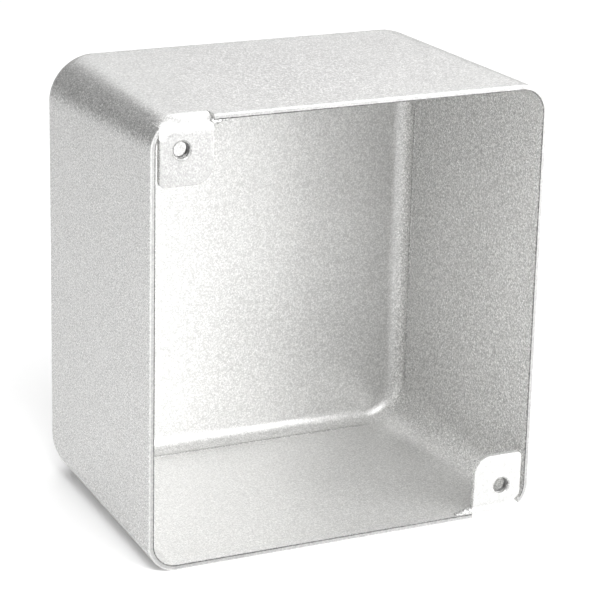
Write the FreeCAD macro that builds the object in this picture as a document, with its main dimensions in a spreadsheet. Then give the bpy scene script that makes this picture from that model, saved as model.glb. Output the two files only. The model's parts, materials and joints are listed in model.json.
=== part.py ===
import FreeCAD, Part
import math
import os
import Sketcher

# A deep, blank steel junction box: an open-fronted square can with no knockouts.
#
# Frame: millimetres, +Z up, +X to the right of somebody looking into the box, +Y into the
# box. The origin is the centre of the outer back face, so the open front is at Y = -depth.
#
# Pieces: a wall ring, a shallow pressed tray that closes its back, two folded screw ears set into
# notches in the ring's front edge, and the weld metal that joins them.

V = FreeCAD.Vector
TOLERANCE = 1e-4      # for planes that ought to coincide
NEARLY = 0.01         # for telling one curve from another

doc = FreeCAD.newDocument("JunctionBox")

# ------------------------------------------------------------------ driving dimensions

DIMENSIONS = [
    ("width", 119.1, "outside, along X: a 4-11/16 in box"),
    ("height", 128.2, "outside, along Z"),
    ("depth", 81.5, "outside, along Y: the 3-1/4 in deep class"),
    ("sheet", 1.6, "16 gauge galvanised sheet"),
    ("corner_radius", 8.4, "outer radius of the wall ring's corners at the open front"),
    ("joint_corner", 13.0, "outer radius of the same corners where ring and tray meet"),
    ("back_bend", 4.6, "inner radius between the back and the walls"),
    ("back_corner", 16.5, "outer radius of the tray's corners where they reach the back"),
    ("tray_lip", 0.4, "straight rim of the back tray in front of its bend"),
    ("edge_break", 0.25, "rounding of the sheet's cut edges"),
    ("ear_gap", 1.0, "slot between an ear and the side wall beside it"),
    ("ear_reach_x", 18.0, "outer side face to the ear's free side"),
    ("ear_reach_z", 18.7, "outer top face to the ear's free end"),
    ("ear_root", 5.4, "depth of the notch that an ear is welded into"),
    ("ear_bend", 3.1, "inner radius of an ear's fold"),
    ("ear_corner", 5.4, "radius of an ear's free corner"),
    ("ear_nip", 1.5, "radius of an ear's corner beside the wall"),
    ("screw_inset", 8.9, "cover screw centre to both outer faces"),
    ("screw_radius", 2.41, "10-32 thread, major radius"),
    ("screw_lead", 0.35, "lead-in bevel of the screw hole"),
    ("collar_radius", 3.3, "outside of the drawn collar behind the ear"),
    ("collar_length", 1.5, "how far the collar stands behind the ear"),
    ("bead_width", 1.2, "seam bead, across the joint"),
    ("bead_rise", 0.35, "seam bead, height above the wall"),
    ("bead_stop", 12.0, "end of a seam bead to the next wall"),
    ("tack_length", 3.6, "half length of an ear's tack weld"),
    ("tack_size", 1.5, "half thickness of an ear's tack weld"),
    ("tack_aside", 1.6, "tack weld's centre, beside the ear's free side"),
    ("tack_inside", 0.3, "tack weld's centre, inside the wall's inner face"),
]

sheet = doc.addObject("Spreadsheet::Sheet", "Sizes")
for row, (alias, value, meaning) in enumerate(DIMENSIONS, start=1):
    sheet.set("A%d" % row, alias)
    sheet.set("B%d" % row, str(value))
    sheet.set("C%d" % row, meaning)
    sheet.setAlias("B%d" % row, alias)
doc.recompute()


def size(alias):
    return float(sheet.get(alias))


# ------------------------------------------------------------------ helpers

def new_body(label):
    body = doc.addObject("PartDesign::Body", label)
    body.Label = label
    return body


def new_sketch(body, name, set_forward="0"):
    """A sketch on the body's own XZ plane, moved forward (towards -Y) by an expression."""
    sketch = body.newObject("Sketcher::SketchObject", name)
    plane = [item for item in body.Origin.OriginFeatures if item.Role == "XZ_Plane"][0]
    sketch.AttachmentSupport = [(plane, "")]
    sketch.MapMode = "FlatFace"
    sketch.setExpression("AttachmentOffset.Base.z", set_forward)
    return sketch


def bind(sketch, kind, *arguments, expression):
    """Adds a driving constraint and ties its value to the sheet."""
    index = sketch.addConstraint(Sketcher.Constraint(kind, *arguments))
    sketch.setExpression("Constraints[%d]" % index, expression)


def rule(sketch, kind, *arguments):
    sketch.addConstraint(Sketcher.Constraint(kind, *arguments))


def corner_arc(centre_x, centre_z, radius, first_degree, last_degree):
    circle = Part.Circle(V(centre_x, centre_z, 0), V(0, 0, 1), radius)
    return Part.ArcOfCircle(circle, math.radians(first_degree), math.radians(last_degree))


def rounded_rectangle(sketch, wide, high, radius, wide_rule, high_rule, radius_rule):
    """A rounded rectangle centred on the sketch's origin, sized by three expressions."""
    x = wide / 2
    z = high / 2
    first = sketch.GeometryCount
    top, left, bottom, right = first, first + 2, first + 4, first + 6
    sketch.addGeometry([
        Part.LineSegment(V(x - radius, z, 0), V(radius - x, z, 0)),
        corner_arc(radius - x, z - radius, radius, 90, 180),
        Part.LineSegment(V(-x, z - radius, 0), V(-x, radius - z, 0)),
        corner_arc(radius - x, radius - z, radius, 180, 270),
        Part.LineSegment(V(radius - x, -z, 0), V(x - radius, -z, 0)),
        corner_arc(x - radius, radius - z, radius, 270, 360),
        Part.LineSegment(V(x, radius - z, 0), V(x, z - radius, 0)),
        corner_arc(x - radius, z - radius, radius, 0, 90),
    ])
    for step in range(8):
        here = first + step
        after = first + (step + 1) % 8
        rule(sketch, "Tangent", here, 2, after, 1)
    for line in (top, bottom):
        rule(sketch, "Horizontal", line)
    for arc in (first + 3, first + 5, first + 7):
        rule(sketch, "Equal", first + 1, arc)
    rule(sketch, "Symmetric", first + 1, 3, first + 5, 3, -1, 1)
    bind(sketch, "DistanceX", left, 1, right, 1, wide, expression=wide_rule)
    bind(sketch, "DistanceY", bottom, 1, top, 1, high, expression=high_rule)
    bind(sketch, "Radius", first + 1, radius, expression=radius_rule)


def edges_in_plane(shape, y):
    """Names of the edges that lie in the plane Y = y."""
    names = []
    for number, edge in enumerate(shape.Edges, start=1):
        box = edge.BoundBox
        if abs(box.YMin - y) < TOLERANCE and abs(box.YMax - y) < TOLERANCE:
            names.append("Edge%d" % number)
    return names


def pad(body, name, sketch, length, to_the_back=False):
    feature = body.newObject("PartDesign::Pad", name)
    feature.Profile = sketch
    feature.setExpression("Length", length)
    feature.Reversed = to_the_back
    doc.recompute()
    return feature


def pocket(body, name, sketch, length):
    """Cuts from the sketch towards the back (+Y), and checks that it removed metal."""
    before = body.Shape.Volume
    feature = body.newObject("PartDesign::Pocket", name)
    feature.Profile = sketch
    feature.setExpression("Length", length)
    doc.recompute()
    if body.Shape.Volume > before - TOLERANCE:
        raise RuntimeError("%s cut nothing" % name)
    return feature


def loft(body, kind, name, first, last):
    """Adds or cuts the solid between two outlines."""
    feature = body.newObject(kind, name)
    feature.Profile = first
    feature.Sections = [last]
    feature.Ruled = True
    doc.recompute()
    return feature


def round_edges(body, name, feature, edges, radius):
    fillet = body.newObject("PartDesign::Fillet", name)
    fillet.Base = (feature, edges)
    fillet.setExpression("Radius", radius)
    doc.recompute()
    return fillet


# ------------------------------------------------------------------ sizes used by starting values
# The expressions below do the same sums; these only place the sketches before they are solved.

HALF_WIDTH = size("width") / 2
HALF_HEIGHT = size("height") / 2
FRONT = -size("depth")
SHEET = size("sheet")
TRAY_RULE = "Sizes.sheet + Sizes.back_bend + Sizes.tray_lip"
INNER_WIDE = "Sizes.width - 2 * Sizes.sheet"
INNER_HIGH = "Sizes.height - 2 * Sizes.sheet"


def outer_outline(sketch, corner="corner_radius"):
    rounded_rectangle(sketch, 2 * HALF_WIDTH, 2 * HALF_HEIGHT, size(corner),
                      "Sizes.width", "Sizes.height", "Sizes." + corner)


def inner_outline(sketch, corner="corner_radius"):
    rounded_rectangle(sketch, 2 * (HALF_WIDTH - SHEET), 2 * (HALF_HEIGHT - SHEET),
                      size(corner) - SHEET, INNER_WIDE, INNER_HIGH,
                      "Sizes.%s - Sizes.sheet" % corner)


# ------------------------------------------------------------------ back tray
# A pressed tray with a low rim: its rounded edge is the box's back edge, inside and out.

def make_back_tray():
    body = new_body("back_tray")
    outer_joint = new_sketch(body, "TrayJointOutline", TRAY_RULE)
    outer_outline(outer_joint, "joint_corner")
    outer_back = new_sketch(body, "TrayBackOutline")
    outer_outline(outer_back, "back_corner")
    loft(body, "PartDesign::AdditiveLoft", "TrayBlock", outer_back, outer_joint)
    inner_joint = new_sketch(body, "HollowJointOutline", TRAY_RULE)
    inner_outline(inner_joint, "joint_corner")
    inner_back = new_sketch(body, "HollowBackOutline", "Sizes.sheet")
    inner_outline(inner_back, "back_corner")
    hollow = loft(body, "PartDesign::SubtractiveLoft", "TrayInside", inner_back, inner_joint)
    inner_bend = round_edges(body, "TrayInnerBend", hollow, edges_in_plane(hollow.Shape, -SHEET),
                             "Sizes.back_bend")
    round_edges(body, "TrayBackEdge", inner_bend, edges_in_plane(inner_bend.Shape, 0),
                "Sizes.back_bend + Sizes.sheet")
    return body


# ------------------------------------------------------------------ wall ring
# A four-sided sleeve with flat walls. Its corners are tight at the open front and open out to a
# larger radius towards the back, as on a pressed box. Two notches in the front edge, at the upper
# left and the lower right, take the screw ears.

def make_wall_ring():
    body = new_body("wall_ring")
    outer_joint = new_sketch(body, "RingJointOutline", TRAY_RULE)
    outer_outline(outer_joint, "joint_corner")
    outer_front = new_sketch(body, "RingFrontOutline", "Sizes.depth")
    outer_outline(outer_front)
    loft(body, "PartDesign::AdditiveLoft", "RingBlock", outer_joint, outer_front)
    inner_joint = new_sketch(body, "MouthJointOutline", TRAY_RULE)
    inner_outline(inner_joint, "joint_corner")
    inner_front = new_sketch(body, "MouthFrontOutline", "Sizes.depth")
    inner_outline(inner_front)
    sleeve = loft(body, "PartDesign::SubtractiveLoft", "RingInside", inner_joint, inner_front)
    round_edges(body, "RimEdge", sleeve, edges_in_plane(sleeve.Shape, FRONT), "Sizes.edge_break")
    for name, side in (("UpperNotch", 1), ("LowerNotch", -1)):
        notch = new_sketch(body, name + "Outline", "Sizes.depth")
        near = side * (size("sheet") + size("ear_gap") - HALF_WIDTH)
        far = side * (size("ear_reach_x") - HALF_WIDTH)
        inside = side * (HALF_HEIGHT - size("corner_radius"))
        outside = side * (HALF_HEIGHT + SHEET)
        corners = [V(near, inside, 0), V(far, inside, 0), V(far, outside, 0), V(near, outside, 0)]
        for step in range(4):
            notch.addGeometry(Part.LineSegment(corners[step], corners[(step + 1) % 4]))
        for step in range(4):
            rule(notch, "Coincident", step, 2, (step + 1) % 4, 1)
        for line in (0, 2):
            rule(notch, "Horizontal", line)
        for line in (1, 3):
            rule(notch, "Vertical", line)
        sign = "" if side > 0 else "-1 * "
        bind(notch, "DistanceX", -1, 1, 0, 1, near,
             expression=sign + "(Sizes.sheet + Sizes.ear_gap - Sizes.width / 2)")
        bind(notch, "DistanceX", -1, 1, 0, 2, far,
             expression=sign + "(Sizes.ear_reach_x - Sizes.width / 2)")
        bind(notch, "DistanceY", -1, 1, 0, 1, inside,
             expression=sign + "(Sizes.height / 2 - Sizes.corner_radius)")
        bind(notch, "DistanceY", -1, 1, 2, 1, outside,
             expression=sign + "(Sizes.height / 2 + Sizes.sheet)")
        pocket(body, name, notch, "Sizes.ear_root")
    return body


# ------------------------------------------------------------------ screw ears
# Each ear is folded from the same sheet: a short root that lies in the ring's notch and follows
# the rounded corner of the box, a fold, and a flat plate flush with the rim with one tapped hole.
# The lower ear is the upper one turned half a turn about Y.

def make_ear(label):
    body = new_body(label)
    corner = size("corner_radius")
    centre_x = corner - HALF_WIDTH
    centre_z = HALF_HEIGHT - corner
    left = SHEET + size("ear_gap") - HALF_WIDTH
    right = size("ear_reach_x") - HALF_WIDTH
    bottom = HALF_HEIGHT - size("ear_reach_z")
    big = size("ear_corner")
    small = size("ear_nip")

    def outer_meeting(radius):
        """Where the ear's left side crosses the corner arc of this radius: degrees, height."""
        across = (centre_x - left) / radius
        angle = math.pi - math.acos(across)
        return math.degrees(angle), centre_z + radius * math.sin(angle)

    def place_arc(sketch, arc, radius_rule):
        bind(sketch, "DistanceX", arc, 3, -1, 1, -centre_x,
             expression="Sizes.width / 2 - Sizes.corner_radius")
        bind(sketch, "DistanceY", -1, 1, arc, 3, centre_z,
             expression="Sizes.height / 2 - Sizes.corner_radius")
        bind(sketch, "Radius", arc, corner, expression=radius_rule)

    def place_side(sketch, line, end, x, expression):
        bind(sketch, "DistanceX", line, end, -1, 1, -x, expression=expression)

    left_rule = "Sizes.width / 2 - Sizes.sheet - Sizes.ear_gap"
    right_rule = "Sizes.width / 2 - Sizes.ear_reach_x"

    # the flat plate: top, outer corner, left side, nipped corner, bottom, free corner, right side
    plate = new_sketch(body, "PlateOutline", "Sizes.depth - Sizes.sheet")
    start_angle, start_height = outer_meeting(corner)
    plate.addGeometry([
        Part.LineSegment(V(right, HALF_HEIGHT, 0), V(centre_x, HALF_HEIGHT, 0)),
        corner_arc(centre_x, centre_z, corner, 90, start_angle),
        Part.LineSegment(V(left, start_height, 0), V(left, bottom + small, 0)),
        corner_arc(left + small, bottom + small, small, 180, 270),
        Part.LineSegment(V(left + small, bottom, 0), V(right - big, bottom, 0)),
        corner_arc(right - big, bottom + big, big, 270, 360),
        Part.LineSegment(V(right, bottom + big, 0), V(right, HALF_HEIGHT, 0)),
    ])
    rule(plate, "Tangent", 0, 2, 1, 1)
    rule(plate, "Coincident", 1, 2, 2, 1)
    for first in (2, 3, 4, 5):
        rule(plate, "Tangent", first, 2, first + 1, 1)
    rule(plate, "Coincident", 6, 2, 0, 1)
    rule(plate, "Vertical", 2)
    rule(plate, "Horizontal", 4)
    rule(plate, "Vertical", 6)
    place_arc(plate, 1, "Sizes.corner_radius")
    place_side(plate, 2, 1, left, left_rule)
    place_side(plate, 6, 1, right, right_rule)
    bind(plate, "DistanceY", -1, 1, 4, 1, bottom, expression="Sizes.height / 2 - Sizes.ear_reach_z")
    bind(plate, "Radius", 3, small, expression="Sizes.ear_nip")
    bind(plate, "Radius", 5, big, expression="Sizes.ear_corner")
    rule(plate, "Horizontal", 0)
    pad(body, "Plate", plate, "Sizes.sheet")

    # the root: the piece of wall that fills the notch
    root = new_sketch(body, "RootOutline", "Sizes.depth - Sizes.ear_root")
    inner = corner - SHEET
    inner_angle, inner_height = outer_meeting(inner)
    root.addGeometry([
        Part.LineSegment(V(right, HALF_HEIGHT, 0), V(centre_x, HALF_HEIGHT, 0)),
        corner_arc(centre_x, centre_z, corner, 90, start_angle),
        Part.LineSegment(V(left, start_height, 0), V(left, inner_height, 0)),
        corner_arc(centre_x, centre_z, inner, 90, inner_angle),
        Part.LineSegment(V(centre_x, HALF_HEIGHT - SHEET, 0), V(right, HALF_HEIGHT - SHEET, 0)),
        Part.LineSegment(V(right, HALF_HEIGHT - SHEET, 0), V(right, HALF_HEIGHT, 0)),
    ])
    rule(root, "Tangent", 0, 2, 1, 1)
    rule(root, "Coincident", 1, 2, 2, 1)
    rule(root, "Coincident", 2, 2, 3, 2)
    rule(root, "Tangent", 3, 1, 4, 1)
    rule(root, "Coincident", 4, 2, 5, 1)
    rule(root, "Coincident", 5, 2, 0, 1)
    rule(root, "Horizontal", 0)
    rule(root, "Vertical", 2)
    rule(root, "Vertical", 5)
    rule(root, "Coincident", 1, 3, 3, 3)
    place_arc(root, 1, "Sizes.corner_radius")
    bind(root, "Radius", 3, inner, expression="Sizes.corner_radius - Sizes.sheet")
    place_side(root, 2, 1, left, left_rule)
    place_side(root, 5, 1, right, right_rule)
    elbow = pad(body, "Root", root, "Sizes.ear_root")

    # the fold, inside and out
    def upper_edges(shape, y, below):
        """Edges in the plane Y = y that belong to the wall's outline, not to the plate's."""
        names = []
        for name in edges_in_plane(shape, y):
            edge = shape.getElement(name)
            middle = edge.valueAt((edge.FirstParameter + edge.LastParameter) / 2)
            from_corner = math.hypot(middle.x - centre_x, middle.z - centre_z)
            on_arc = middle.x < centre_x and abs(from_corner - (corner - below)) < NEARLY
            on_top = middle.x > centre_x and abs(middle.z - (HALF_HEIGHT - below)) < NEARLY
            if on_arc or on_top:
                names.append(name)
        return names

    outside = round_edges(body, "FoldOutside", elbow, upper_edges(elbow.Shape, FRONT, 0),
                          "Sizes.ear_bend + Sizes.sheet")
    inside = round_edges(body, "FoldInside", outside,
                         upper_edges(outside.Shape, FRONT + SHEET, SHEET), "Sizes.ear_bend")
    # rounding one edge of the plate's front outline carries on along the whole of it
    free_end = [name for name in edges_in_plane(inside.Shape, FRONT)
                if inside.Shape.getElement(name).BoundBox.ZMax < bottom + TOLERANCE]
    round_edges(body, "PlateEdge", inside, free_end, "Sizes.edge_break")

    # the tapped hole with its drawn collar
    hole_x = size("screw_inset") - HALF_WIDTH
    hole_z = HALF_HEIGHT - size("screw_inset")

    def circle(name, forward, radius, radius_rule):
        sketch = new_sketch(body, name, forward)
        sketch.addGeometry(Part.Circle(V(hole_x, hole_z, 0), V(0, 0, 1), radius))
        bind(sketch, "DistanceX", 0, 3, -1, 1, -hole_x,
             expression="Sizes.width / 2 - Sizes.screw_inset")
        bind(sketch, "DistanceY", -1, 1, 0, 3, hole_z,
             expression="Sizes.height / 2 - Sizes.screw_inset")
        bind(sketch, "Radius", 0, radius, expression=radius_rule)
        return sketch

    collar_circle = circle("CollarCircle", "Sizes.depth - Sizes.sheet",
                           size("collar_radius"), "Sizes.collar_radius")
    pad(body, "Collar", collar_circle, "Sizes.collar_length", to_the_back=True)
    hole_circle = circle("ScrewCircle", "Sizes.depth", size("screw_radius"), "Sizes.screw_radius")
    drilled = pocket(body, "ScrewHole", hole_circle, "Sizes.sheet + Sizes.collar_length")
    mouth = [name for name in edges_in_plane(drilled.Shape, FRONT)
             if isinstance(drilled.Shape.getElement(name).Curve, Part.Circle)
             and abs(drilled.Shape.getElement(name).Curve.Radius - size("screw_radius")) < NEARLY]
    lead = body.newObject("PartDesign::Chamfer", "ScrewLead")
    lead.Base = (drilled, mouth)
    lead.setExpression("Size", "Sizes.screw_lead")
    doc.recompute()
    return body


# ------------------------------------------------------------------ weld metal

def make_seam_beads():
    """Four low beads on the inside of the joint between ring and tray, short of the corners."""
    space = doc.addObject("Part::Box", "InsideSpace")
    space.setExpression("Length", INNER_WIDE)
    space.setExpression("Width", "Sizes.depth")
    space.setExpression("Height", INNER_HIGH)
    space.setExpression("Placement.Base.x", "Sizes.sheet - Sizes.width / 2")
    space.setExpression("Placement.Base.y", "-Sizes.depth")
    space.setExpression("Placement.Base.z", "Sizes.sheet - Sizes.height / 2")

    # a bead is the part of a round rod that stands inside the wall's inner face
    rod_radius = "(Sizes.bead_width ^ 2 / 4 + Sizes.bead_rise ^ 2) / (2 * Sizes.bead_rise)"
    beads = []
    for name, side, across, along in (("Right", 1, "width", "height"), ("Left", -1, "width", "height"),
                                      ("Top", 1, "height", "width"), ("Bottom", -1, "height", "width")):
        half_length = "(Sizes.%s / 2 - Sizes.sheet - Sizes.bead_stop)" % along
        away_from_axis = "Sizes.%s / 2 - Sizes.sheet + %s - Sizes.bead_rise" % (across, rod_radius)
        rod = doc.addObject("Part::Cylinder", name + "Rod")
        rod.setExpression("Radius", rod_radius)
        rod.setExpression("Height", "2 * " + half_length)
        rod.setExpression("Placement.Base.y", "-1 * (%s)" % TRAY_RULE)
        if across == "width":
            rod.setExpression("Placement.Base.x", "%d * (%s)" % (side, away_from_axis))
            rod.setExpression("Placement.Base.z", "-1 * " + half_length)
        else:
            rod.Placement.Rotation = FreeCAD.Rotation(V(0, 1, 0), 90)
            rod.setExpression("Placement.Base.z", "%d * (%s)" % (side, away_from_axis))
            rod.setExpression("Placement.Base.x", "-1 * " + half_length)
        bead = doc.addObject("Part::Common", name + "SeamBead")
        bead.Base = rod
        bead.Tool = space
        beads.append(bead)
    group = doc.addObject("Part::Compound", "seam_beads")
    group.Label = "seam_beads"
    group.Links = beads
    doc.recompute()
    return group


def make_tack_welds():
    """A lump of weld metal in the angle between each ear's free side and the wall."""
    welds = []
    for name, sign, turn in (("Upper", "", 0), ("Lower", "-1 * ", 180)):
        lump = doc.addObject("Part::Ellipsoid", name + "Lump")
        lump.setExpression("Radius1", "Sizes.tack_size")
        lump.setExpression("Radius2", "Sizes.tack_length")
        lump.setExpression("Radius3", "Sizes.tack_size")
        lump.setExpression("Placement.Base.x",
                           sign + "(Sizes.ear_reach_x + Sizes.tack_aside - Sizes.width / 2)")
        lump.setExpression("Placement.Base.y",
                           "Sizes.tack_size + Sizes.edge_break - Sizes.depth")
        lump.setExpression("Placement.Base.z",
                           sign + "(Sizes.height / 2 - Sizes.sheet - Sizes.tack_inside)")
        angle = doc.addObject("Part::Box", name + "Angle")
        angle.Placement.Rotation = FreeCAD.Rotation(V(0, 1, 0), turn)
        for length in ("Length", "Width", "Height"):
            angle.setExpression(length, "4 * Sizes.tack_length")
        angle.setExpression("Placement.Base.x", sign + "(Sizes.ear_reach_x - Sizes.width / 2)")
        angle.setExpression("Placement.Base.y", "-Sizes.depth")
        angle.setExpression("Placement.Base.z",
                            sign + "(Sizes.height / 2 - Sizes.sheet - 4 * Sizes.tack_length)")
        weld = doc.addObject("Part::Common", name + "TackWeld")
        weld.Base = lump
        weld.Tool = angle
        welds.append(weld)
    group = doc.addObject("Part::Compound", "ear_tack_welds")
    group.Label = "ear_tack_welds"
    group.Links = welds
    doc.recompute()
    return group


# ------------------------------------------------------------------ build, check and write

back_tray = make_back_tray()
wall_ring = make_wall_ring()
upper_ear = make_ear("upper_ear")
lower_ear = make_ear("lower_ear")
lower_ear.Placement = FreeCAD.Placement(V(0, 0, 0), FreeCAD.Rotation(V(0, 1, 0), 180))
doc.recompute()
seam_beads = make_seam_beads()
tack_welds = make_tack_welds()
doc.recompute()

for item in doc.Objects:
    if "Invalid" in item.State or "Error" in item.State:
        raise RuntimeError("%s did not recompute" % item.Name)

os.makedirs("parts", exist_ok=True)
for piece in (wall_ring, back_tray, upper_ear, lower_ear, seam_beads, tack_welds):
    if piece.Shape.isNull() or not piece.Shape.isValid():
        raise RuntimeError("%s has no valid shape" % piece.Label)
    box = piece.Shape.BoundBox
    print("%-16s solids %d volume %8.1f mm3  x %.2f..%.2f y %.2f..%.2f z %.2f..%.2f" % (
        piece.Label, len(piece.Shape.Solids), piece.Shape.Volume,
        box.XMin, box.XMax, box.YMin, box.YMax, box.ZMin, box.ZMax))
    piece.Shape.exportStep(os.path.join("parts", piece.Label + ".step"))
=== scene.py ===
import json
import math
import bmesh
import bpy
from mathutils import Matrix, Vector, noise


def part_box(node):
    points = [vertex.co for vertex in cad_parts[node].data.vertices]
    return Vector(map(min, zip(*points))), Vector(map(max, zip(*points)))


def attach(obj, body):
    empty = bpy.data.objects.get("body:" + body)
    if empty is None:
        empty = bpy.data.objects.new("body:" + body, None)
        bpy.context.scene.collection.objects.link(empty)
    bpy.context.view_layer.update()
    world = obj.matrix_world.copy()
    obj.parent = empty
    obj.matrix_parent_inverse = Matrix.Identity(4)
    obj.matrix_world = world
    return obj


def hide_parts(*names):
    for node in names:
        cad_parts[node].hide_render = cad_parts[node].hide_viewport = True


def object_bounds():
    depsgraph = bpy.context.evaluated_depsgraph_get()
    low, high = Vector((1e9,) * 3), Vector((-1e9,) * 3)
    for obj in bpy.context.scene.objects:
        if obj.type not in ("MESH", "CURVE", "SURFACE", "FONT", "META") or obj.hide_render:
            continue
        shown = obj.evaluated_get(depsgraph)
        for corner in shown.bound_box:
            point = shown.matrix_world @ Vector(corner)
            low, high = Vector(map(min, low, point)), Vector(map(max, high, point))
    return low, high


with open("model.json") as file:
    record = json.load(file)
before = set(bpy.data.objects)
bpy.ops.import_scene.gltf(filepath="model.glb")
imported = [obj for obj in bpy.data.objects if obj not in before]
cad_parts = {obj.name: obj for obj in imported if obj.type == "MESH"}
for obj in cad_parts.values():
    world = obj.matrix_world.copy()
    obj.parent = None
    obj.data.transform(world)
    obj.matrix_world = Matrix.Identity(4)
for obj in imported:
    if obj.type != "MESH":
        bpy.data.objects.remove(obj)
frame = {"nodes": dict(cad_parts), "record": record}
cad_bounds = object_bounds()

MM = 0.001
BODY = "root"
LOW, HIGH = cad_bounds
CENTRE = (LOW + HIGH) / 2
SHEET = 1.6 * MM                     # the wall's thickness, as in the CAD model
CORNER = 8.4 * MM                    # outer corner radius at the open front
FRONT_Y = LOW.y


# ------------------------------------------------------------------ node helpers

class Graph:
    """A small wrapper that makes and links shader nodes."""

    def __init__(self, tree):
        self.tree = tree
        tree.nodes.clear()

    def node(self, kind, inputs=None, **settings):
        made = self.tree.nodes.new(kind)
        for name, value in settings.items():
            setattr(made, name, value)
        for name, value in (inputs or {}).items():
            self.feed(made, name, value)
        return made

    def feed(self, node, name, value):
        if isinstance(value, bpy.types.NodeSocket):
            self.tree.links.new(value, node.inputs[name])
        else:
            node.inputs[name].default_value = value

    def noise(self, vector, scale, detail=2.0, roughness=0.5):
        made = self.node("ShaderNodeTexNoise", {
            "Vector": vector, "Scale": scale, "Detail": detail, "Roughness": roughness})
        return made.outputs["Fac"]

    def scale(self, value, low_in, high_in, low_out, high_out):
        made = self.node("ShaderNodeMapRange", {
            "Value": value, "From Min": low_in, "From Max": high_in,
            "To Min": low_out, "To Max": high_out})
        return made.outputs["Result"]

    def math(self, operation, first, second=0.0):
        made = self.node("ShaderNodeMath", operation=operation)
        self.feed(made, 0, first)
        self.feed(made, 1, second)
        return made.outputs[0]

    def vector(self, operation, first, second=None, output="Vector"):
        made = self.node("ShaderNodeVectorMath", operation=operation)
        self.feed(made, 0, first)
        if second is not None:
            self.feed(made, 1, second)
        return made.outputs[output]

    def dot(self, first, second):
        return self.vector("DOT_PRODUCT", first, second, "Value")


# ------------------------------------------------------------------ materials

FINE_SCALE = 2300.0                  # how many times the three noises repeat in a metre
SPECK_SCALE = 900.0
CLOUD_SCALE = 38.0
EDGE_SHADE_REACH = 0.25 * MM               # how far the painted shade on a cut edge reaches
BUMP_HEIGHT = 0.10 * MM
RIM_GRAIN = 0.35                     # strength of the grain on the flat faces at the front
SIDE_GRAIN = 1.6                     # the same on the left and right walls
FLAT_GRAIN = 0.8                     # the same on the top, the bottom and the back
WARM_GREEN = 0.998                   # zinc is a hair warmer than neutral grey
WARM_BLUE = 0.985


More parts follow.
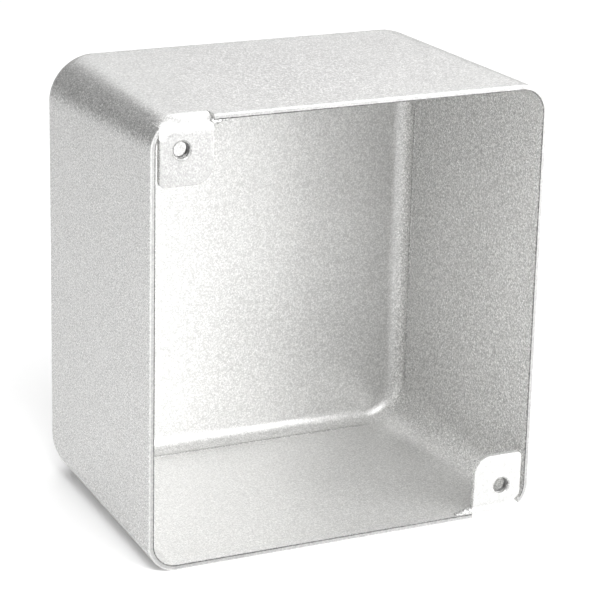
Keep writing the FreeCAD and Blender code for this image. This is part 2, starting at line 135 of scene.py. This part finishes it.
def galvanised(name, tone=0.60, grain=1.0, rough=0.40, metallic=0.5, edge_shade=0.0,
               rim_shade=1.0, rim_outer_highlight=0.0, rim_inner_shade=0.0):
    """Zinc-coated sheet: a fine light and dark grain over soft cloudiness.

    The edge value lightens or darkens the cut edges at the front; the ears use it to darken them as
    painted shade.
    The three rim values lighten or darken the flat faces at the front, their outer edge and their inner
    edge:
    painted shade on the faces and on the inner edge, a painted highlight on the outer edge. The grain
    is weaker there.
    """
    material = bpy.data.materials.new(name)
    material.use_nodes = True
    graph = Graph(material.node_tree)
    place = graph.node("ShaderNodeTexCoord").outputs["Object"]

    fine = graph.noise(place, FINE_SCALE, detail=2.0, roughness=0.6)
    speck = graph.noise(place, SPECK_SCALE, detail=2.0, roughness=0.6)
    cloud = graph.noise(place, CLOUD_SCALE, detail=3.0, roughness=0.55)

    bevel = graph.node("ShaderNodeBevel", {"Radius": EDGE_SHADE_REACH}, samples=6).outputs["Normal"]
    normal = graph.node("ShaderNodeNewGeometry").outputs["Normal"]
    forward = graph.scale(graph.dot(normal, (0.0, -1.0, 0.0)), 0.5, 0.95, 0.0, 1.0)
    # mask of the cut edges, where the edge value paints shade
    edge = graph.scale(graph.dot(bevel, normal), 0.995, 0.86, 0.0, 1.0)
    depth = graph.node("ShaderNodeSeparateXYZ", {"Vector": place}).outputs["Y"]
    at_rim = graph.scale(depth, FRONT_Y + 0.3 * MM, FRONT_Y + 0.1 * MM, 0.0, 1.0)
    at_plate = graph.scale(depth, FRONT_Y + SHEET + 0.2 * MM, FRONT_Y + SHEET, 0.0, 1.0)
    # the flat faces at the front: weaker grain there, and painted shade
    rim = graph.math("MULTIPLY", forward, at_rim)

    # how far a point at the front lies inside the box's outer outline
    quarter = graph.vector("MULTIPLY", graph.vector("ABSOLUTE", place), (1.0, 0.0, 1.0))
    beyond = graph.vector("SUBTRACT", quarter, (HIGH.x - CORNER, 0.0, HIGH.z - CORNER))
    beyond = graph.vector("MAXIMUM", beyond, (0.0, 0.0, 0.0))
    inset = graph.math("SUBTRACT", CORNER, graph.vector("LENGTH", beyond, output="Value"))
    # mask for the painted highlight along the outer edge of the front faces
    outer = graph.math("MULTIPLY", at_rim, graph.scale(inset, 0.5 * MM, 0.3 * MM, 0.0, 1.0))
    # mask for the painted shade along the inner edge of the front faces
    inner = graph.math("MULTIPLY", at_rim, graph.scale(inset, 1.15 * MM, 1.3 * MM, 0.0, 1.0))

    sideways = graph.math("ABSOLUTE", graph.dot(normal, (1.0, 0.0, 0.0)))
    strength = graph.math("MULTIPLY", graph.scale(sideways, 0.3, 0.9, FLAT_GRAIN, SIDE_GRAIN),
                          graph.scale(rim, 0.0, 1.0, 1.0, RIM_GRAIN))
    grains = graph.math("ADD", graph.scale(fine, 0.42, 0.72, -0.17 * grain, 0.50 * grain),
                        graph.scale(speck, 0.30, 0.70, -0.10 * grain, 0.10 * grain))
    parts = [
        graph.math("MULTIPLY", grains, strength),
        graph.scale(cloud, 0.30, 0.70, -0.02, 0.02),
        # painted shade on the cut edges at the front
        graph.math("MULTIPLY", graph.math("MULTIPLY", edge, at_plate), edge_shade),
        # painted shade: darkens the flat faces at the front, which catch the most light
        graph.math("MULTIPLY", rim, rim_shade - 1.0),
        # painted highlight along the outer edge of the front faces
        graph.math("MULTIPLY", outer, rim_outer_highlight),
        # painted shade along the inner edge of the front faces
        graph.math("MULTIPLY", inner, rim_inner_shade),
    ]
    # grain, cloudiness, painted shade and a painted highlight, summed
    grain_and_painted_light = 1.0
    for part in parts:
        grain_and_painted_light = graph.math("ADD", part, grain_and_painted_light)
    level = graph.math("MULTIPLY", grain_and_painted_light, tone)
    colour = graph.node("ShaderNodeCombineColor", {
        "Red": level, "Green": graph.math("MULTIPLY", level, WARM_GREEN),
        "Blue": graph.math("MULTIPLY", level, WARM_BLUE)}).outputs["Color"]

    gloss = graph.math("ADD", graph.scale(speck, 0.3, 0.7, rough - 0.05, rough + 0.05),
                       graph.scale(fine, 0.3, 0.7, -0.04, 0.04))
    bump = graph.node("ShaderNodeBump", {
        "Strength": 0.6 * grain, "Distance": BUMP_HEIGHT,
        "Height": graph.math("ADD", fine, graph.math("MULTIPLY", speck, 0.8))})
    shader = graph.node("ShaderNodeBsdfPrincipled", {
        "Base Color": colour, "Metallic": metallic, "Roughness": gloss,
        "Normal": bump.outputs["Normal"]})
    output = graph.node("ShaderNodeOutputMaterial")
    graph.feed(output, "Surface", shader.outputs["BSDF"])
    return material


def dress(node_name, material):
    """Gives a CAD node one finished material."""
    slots = frame["nodes"][node_name].material_slots
    if not slots:
        frame["nodes"][node_name].data.materials.append(material)
    for material_slot in slots:
        material_slot.material = material


# the ring's front face is darkened as painted shade, with a painted highlight on its outer edge and
# painted shade on its inner edge
ring_zinc = galvanised("galvanised_ring", rim_shade=0.50, rim_outer_highlight=0.25, rim_inner_shade=-0.40)
sheet_zinc = galvanised("galvanised_sheet")
# the ears' front faces and cut edges are darkened as painted shade, the upper ear more than the lower
upper_ear_zinc_painted_shade = galvanised("upper_ear_zinc_painted_shade", rim_shade=0.55, edge_shade=-0.5)
lower_ear_zinc_painted_shade = galvanised("lower_ear_zinc_painted_shade", rim_shade=0.73, edge_shade=-0.6)
weld_zinc = galvanised("weld_zinc", tone=0.42, grain=1.6, rough=0.36)
# the threads are bare cut steel, made this dark to paint the shade inside the tapped holes
thread_steel_and_shade = galvanised("cut_thread_steel_and_shade", tone=0.20, grain=0.5, rough=0.35, metallic=0.8)

dress("wall_ring", ring_zinc)
dress("back_tray", sheet_zinc)
dress("upper_ear", upper_ear_zinc_painted_shade)
dress("lower_ear", lower_ear_zinc_painted_shade)


# ------------------------------------------------------------------ mesh helpers

def sweep(rings):
    """Joins equal rings of points into one closed skin with two end caps."""
    count = len(rings[0])
    points = [point for ring in rings for point in ring]
    faces = []
    for step in range(len(rings) - 1):
        here = step * count
        for k in range(count):
            after = (k + 1) % count
            faces.append((here + k, here + after, here + count + after, here + count + k))
    faces.append(tuple(range(count)))
    faces.append(tuple(range(len(points) - count, len(points))))
    return points, faces


def make_piece(name, skins, material):
    """One object from several closed skins, with every face turned outwards."""
    shape = bmesh.new()
    for points, faces in skins:
        corners = [shape.verts.new(point) for point in points]
        for face in faces:
            shape.faces.new([corners[index] for index in face])
    bmesh.ops.recalc_face_normals(shape, faces=shape.faces)
    for face in shape.faces:
        face.smooth = True
    mesh = bpy.data.meshes.new(name)
    shape.to_mesh(mesh)
    shape.free()
    mesh.materials.append(material)
    piece = bpy.data.objects.new(name, mesh)
    bpy.context.collection.objects.link(piece)
    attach(piece, BODY)
    return piece


def half_turn(point):
    """The lower ear is the upper one turned half a turn about Y."""
    return Vector((-point.x, point.y, -point.z))


# ------------------------------------------------------------------ screw threads

THREAD_PITCH = 0.794 * MM            # 10-32
THREAD_DEPTH = 0.40 * MM
THREAD_BURIED = 0.04 * MM            # how far the ridge's foot goes into the metal
THREAD_FOOT = 0.48                   # half width of the ridge at its foot, in pitches
THREAD_CREST = 0.07
THREAD_STEPS = 40                    # per turn


def thread_skin(centre, radius, length):
    """A helical ridge on the wall of a hole along Y, fading out at both ends."""
    turns = length / THREAD_PITCH
    steps = round(turns * THREAD_STEPS)
    rings = []
    for step in range(steps + 1):
        share = step / steps
        angle = 2 * math.pi * turns * share
        fade = min(1.0, share * turns * 2, (1 - share) * turns * 2)
        middle = centre.y + length * (share - 0.5)
        ring = []
        for reach, half_wide in ((-THREAD_BURIED, THREAD_FOOT), (THREAD_DEPTH * fade, THREAD_CREST)):
            for side in (-1, 1):
                along = middle + side * half_wide * THREAD_PITCH
                away = radius - reach
                ring.append(Vector((centre.x + away * math.cos(angle), along,
                                    centre.z + away * math.sin(angle))))
        rings.append([ring[0], ring[1], ring[3], ring[2]])
    return sweep(rings)


screws = [mount for mount in frame["record"]["mounts"] if mount["kind"] == "threaded_hole"]
threads = []
for mount in screws:
    hole_radius = mount["dims"]["r_mm"] * MM
    hole_length = mount["dims"]["length_mm"] * MM
    threads.append(thread_skin(Vector(mount["pos_m"]), hole_radius, hole_length - THREAD_PITCH))
make_piece("screw_threads", threads, thread_steel_and_shade)


# ------------------------------------------------------------------ weld metal

BEAD_WIDE = 1.2 * MM
BEAD_RISE = 0.35 * MM
BEAD_STOP = 12.0 * MM                # end of a seam bead to the next wall
BEAD_FADE = 5.0 * MM                 # length over which a bead runs out at its ends
RIPPLE = 1.1 * MM                    # from one weld ripple to the next
BURIED = 0.12 * MM                   # how far weld metal goes into the sheet
SEAM_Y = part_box("wall_ring")[1][1]


def bead_skin(start, along, normal, length, seed):
    """A low rippled bead on a wall, centred on the joint; its width runs along Y."""
    rings = []
    steps = round(length / (RIPPLE / 6))
    for step in range(steps + 1):
        run = length * step / steps
        fade = min(1.0, run / BEAD_FADE, (length - run) / BEAD_FADE)
        fade = math.sqrt(max(fade, 0.02))
        wander = noise.noise(Vector((run / (4 * MM), seed, 0.0)))
        swell = noise.noise(Vector((run / (2 * MM), seed, 9.0)))
        half_wide = BEAD_WIDE / 2 * fade * (1 + 0.12 * swell)
        ring = []
        for k in range(9):
            u = k / 4 - 1
            phase = run / RIPPLE + 0.45 * u * u
            rise = BEAD_RISE * fade * (1 - u * u) * (0.86 + 0.12 * math.sin(2 * math.pi * phase))
            across = u * half_wide + 0.10 * MM * wander
            ring.append(start + along * run + normal * rise + Vector((0, across, 0)))
        for u in (1, -1):
            across = u * half_wide + 0.10 * MM * wander
            ring.append(start + along * run - normal * BURIED + Vector((0, across, 0)))
        rings.append(ring)
    return sweep(rings)


def seam_bead_skins():
    inner_x = HIGH.x - SHEET
    inner_z = HIGH.z - SHEET
    walls = [
        (Vector((inner_x, SEAM_Y, -inner_z)), Vector((0, 0, 1)), Vector((-1, 0, 0)), 2 * inner_z),
        (Vector((-inner_x, SEAM_Y, -inner_z)), Vector((0, 0, 1)), Vector((1, 0, 0)), 2 * inner_z),
        (Vector((-inner_x, SEAM_Y, inner_z)), Vector((1, 0, 0)), Vector((0, 0, -1)), 2 * inner_x),
        (Vector((-inner_x, SEAM_Y, -inner_z)), Vector((1, 0, 0)), Vector((0, 0, 1)), 2 * inner_x),
    ]
    skins = []
    for seed, (corner, along, normal, whole) in enumerate(walls):
        start = corner + along * BEAD_STOP
        skins.append(bead_skin(start, along, normal, whole - 2 * BEAD_STOP, 3.7 * seed))
    return skins


def lump_skin(centre, radii, seed, turned):
    """A rough pebble of weld metal."""
    rows = 14
    columns = 20
    rings = []
    for row in range(1, rows):
        polar = math.pi * row / rows
        ring = []
        for column in range(columns):
            turn = 2 * math.pi * column / columns
            ray = Vector((math.cos(polar), math.sin(polar) * math.cos(turn),
                          math.sin(polar) * math.sin(turn)))
            rough = 1 + 0.22 * noise.noise(ray * 1.9 + Vector((seed, 0, 0)))
            point = centre + Vector((ray.x * radii.x, ray.y * radii.y, ray.z * radii.z)) * rough
            ring.append(half_turn(point) if turned else point)
        rings.append(ring)
    return sweep(rings)


# each pebble: beside the ear's free side, behind the front, below the wall's inner face,
# and its half sizes along X, Y and Z, all in millimetres
PEBBLES = [
    (0.3, 1.5, 0.5, 1.3, 1.2, 1.2),
    (1.6, 1.3, 0.3, 1.2, 1.0, 1.0),
    (2.7, 1.5, 0.2, 0.9, 1.1, 0.8),
    (3.7, 1.0, 0.0, 0.9, 0.8, 0.7),
    (4.7, 1.3, 0.0, 0.6, 0.8, 0.5),
    (2.2, 0.6, -0.6, 0.5, 0.4, 0.4),
    (3.4, 0.6, -0.9, 0.4, 0.4, 0.35),
]


def tack_skins():
    """Lumpy weld metal in the angle between each ear's free side and the wall."""
    ear_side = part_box("upper_ear")[1][0]
    inner_z = HIGH.z - SHEET
    skins = []
    for turned in (False, True):
        for seed, values in enumerate(PEBBLES):
            aside, behind, below, x, y, z = [value * MM for value in values]
            centre = Vector((ear_side + aside, FRONT_Y + behind, inner_z - below))
            skins.append(lump_skin(centre, Vector((x, y, z)), 5.3 * seed + 2.1 * turned, turned))
    return skins


seams = make_piece("seam_welds", seam_bead_skins(), weld_zinc)
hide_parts("seam_beads")
tacks = make_piece("tack_welds", tack_skins(), weld_zinc)
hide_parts("ear_tack_welds")


# ------------------------------------------------------------------ stage, lights and camera

FLOOR_HALF = 4.0                     # half the floor's width, in metres
FLOOR_WHITE = 0.90
FLOOR_ROUGH = 0.9
FLOOR_GLOW = 0.15                    # a lit table top, so the box throws only a faint shadow
LIGHT_DISTANCE = 1.3
WORLD_LIGHT = 0.01


def make_floor():
    mesh = bpy.data.meshes.new("floor")
    corners = [(x * FLOOR_HALF, y * FLOOR_HALF, LOW.z) for x, y in ((-1, -1), (1, -1), (1, 1), (-1, 1))]
    mesh.from_pydata(corners, [], [(0, 1, 2, 3)])
    floor = bpy.data.objects.new("floor", mesh)
    bpy.context.collection.objects.link(floor)
    material = bpy.data.materials.new("floor_white")
    material.use_nodes = True
    shader = material.node_tree.nodes["Principled BSDF"]
    shader.inputs["Base Color"].default_value = (FLOOR_WHITE, FLOOR_WHITE, FLOOR_WHITE, 1.0)
    shader.inputs["Roughness"].default_value = FLOOR_ROUGH
    shader.inputs["Emission Color"].default_value = (1.0, 1.0, 1.0, 1.0)
    shader.inputs["Emission Strength"].default_value = FLOOR_GLOW
    mesh.materials.append(material)


def direction(azimuth, elevation):
    """Unit vector from the box towards a place: azimuth 0 is in front, positive to the left."""
    a = math.radians(azimuth)
    e = math.radians(elevation)
    return Vector((-math.sin(a) * math.cos(e), -math.cos(a) * math.cos(e), math.sin(e)))


def softbox(name, azimuth, elevation, size, power):
    light = bpy.data.lights.new(name, "AREA")
    light.shape = "SQUARE"
    light.size = size
    light.energy = power
    lamp = bpy.data.objects.new(name, light)
    bpy.context.collection.objects.link(lamp)
    towards = direction(azimuth, elevation)
    lamp.location = CENTRE + towards * LIGHT_DISTANCE
    lamp.rotation_mode = "QUATERNION"
    lamp.rotation_quaternion = towards.to_track_quat("Z", "Y")


make_floor()
#     name              azimuth elevation size power
SOFTBOXES = [
    ("right_front", -50.0, 8.0, 0.5, 16.0),
    ("front_low", -35.0, 8.0, 0.5, 4.5),
    ("left_side", 70.0, 8.0, 0.5, 1.0),
    ("front", -20.0, 26.0, 0.5, 8.5),
    ("front_high", 10.0, 44.0, 0.5, 8.5),
    ("right_high", -105.0, 62.0, 0.5, 3.5),
    ("left_front_high", 45.0, 62.0, 0.5, 4.5),
    ("left_high", 70.0, 62.0, 0.5, 3.0),
    ("back", -160.0, 45.0, 0.9, 5.0),
    ("right_back", -130.0, 45.0, 0.9, 1.5),
]
for settings in SOFTBOXES:
    softbox(*settings)

world = bpy.data.worlds.new("studio")
bpy.context.scene.world = world
world.use_nodes = True
world.node_tree.nodes["Background"].inputs["Color"].default_value = (1.0, 1.0, 1.0, 1.0)
world.node_tree.nodes["Background"].inputs["Strength"].default_value = WORLD_LIGHT

# the camera: degrees, metres from the point it aims at, and that point beside the box's centre
VIEW_AZIMUTH = 25.74
VIEW_ELEVATION = 18.57
VIEW_ROLL = 1.35
VIEW_DISTANCE = 0.7301
LENS = 151.6
AIM_RIGHT = 3.54 * MM
AIM_DOWN = 4.57 * MM


def make_camera():
    back = direction(VIEW_AZIMUTH, VIEW_ELEVATION)
    forward = -back
    level_right = forward.cross(Vector((0, 0, 1))).normalized()
    level_up = level_right.cross(forward)
    roll = math.radians(VIEW_ROLL)
    right = level_right * math.cos(roll) + level_up * math.sin(roll)
    up = level_up * math.cos(roll) - level_right * math.sin(roll)
    aim = CENTRE + right * AIM_RIGHT - up * AIM_DOWN
    data = bpy.data.cameras.new("camera")
    data.lens = LENS
    data.sensor_width = 36.0
    data.clip_start = 0.05
    data.clip_end = 50.0
    camera = bpy.data.objects.new("camera", data)
    bpy.context.collection.objects.link(camera)
    turn = Matrix((right, up, back)).transposed().to_4x4()
    camera.matrix_world = Matrix.Translation(aim + back * VIEW_DISTANCE) @ turn
    bpy.context.scene.camera = camera


make_camera()
bpy.context.scene.view_settings.view_transform = "Standard"
